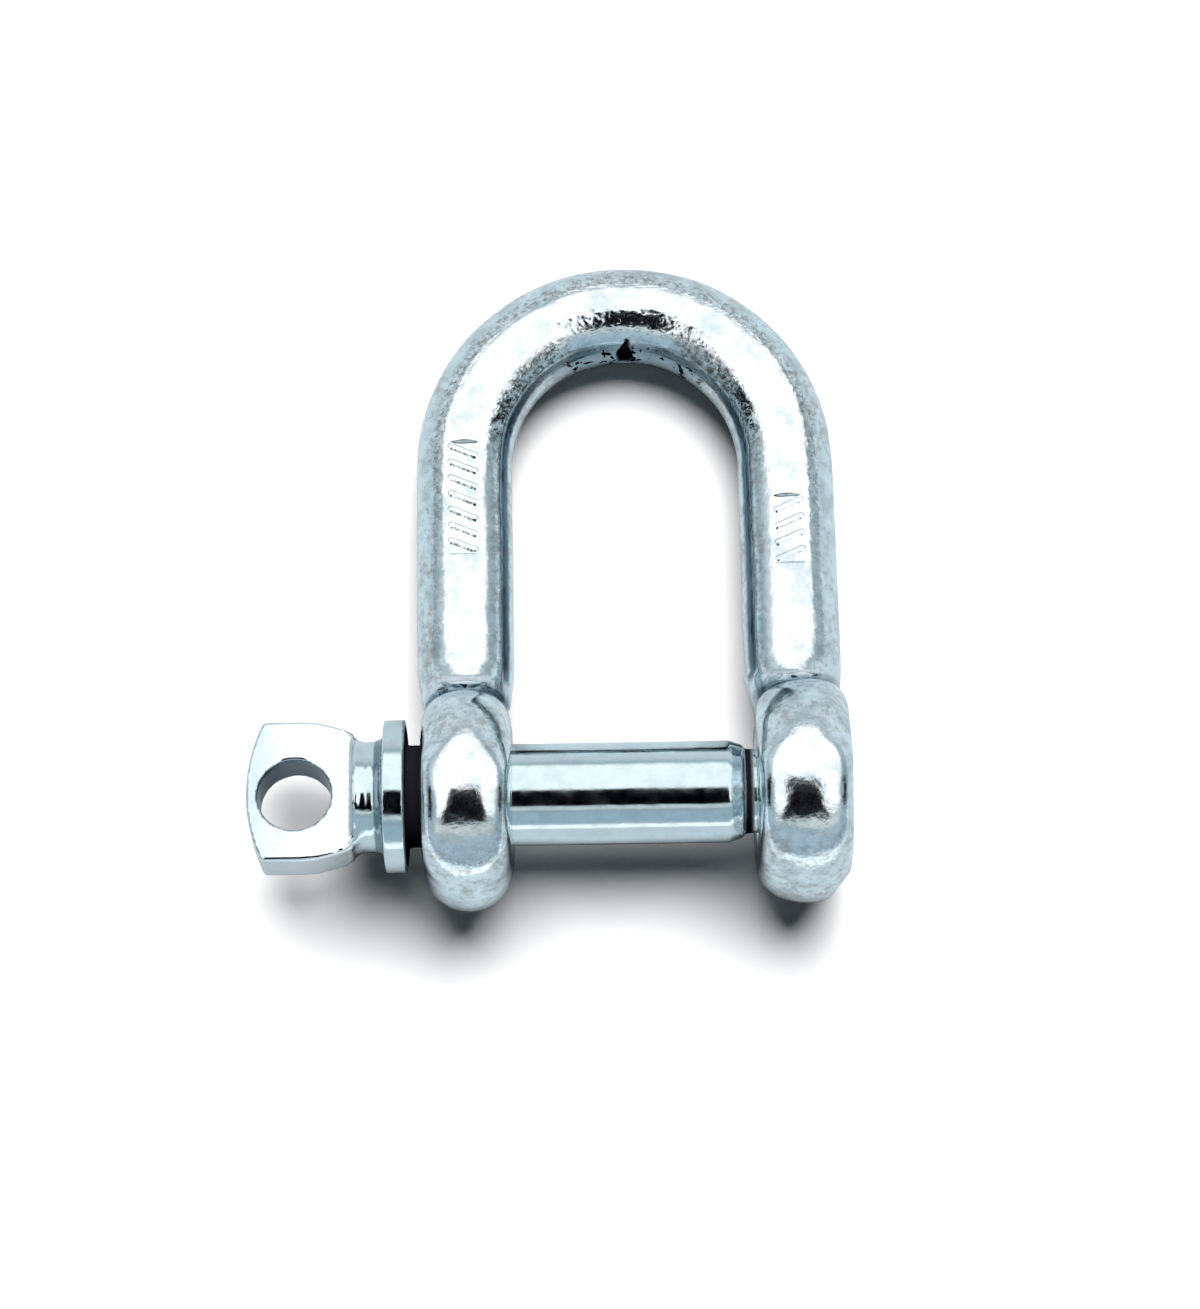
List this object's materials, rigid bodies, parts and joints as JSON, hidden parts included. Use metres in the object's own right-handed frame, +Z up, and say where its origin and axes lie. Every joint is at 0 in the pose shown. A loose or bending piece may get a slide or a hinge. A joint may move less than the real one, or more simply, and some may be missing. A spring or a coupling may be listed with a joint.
{
  "type": "screw pin d-shackle",
  "caption": "D-shackle for rigging: a bent round bar bow with forged ears, closed across the jaw by a screw pin with a flat, holed head.",
  "frame": {"origin": "on the pin axis, midway between the inner faces of the two ears; the floor it lies on is 8.95 mm below", "axes": "+X along the pin from its flat head to its threaded end, +Y level and towards the crown of the bow, +Z up"},
  "size_m": [0.047, 0.0522, 0.0178],
  "materials": {
    "bow_zinc": "bright zinc plate over forged steel, slightly uneven and stained",
    "pin_zinc": "bright zinc plate over turned and forged steel"
  },
  "bodies": {
    "bow": {"shackle_body": "bow_zinc"},
    "pin": {"screw_pin": "pin_zinc"}
  },
  "joints": [
    {"name": "pin_draw", "type": "slide", "parent": "bow", "child": "pin", "axis": [-1, 0, 0], "range_m": [-0.0012, 0.037]}
  ]
}
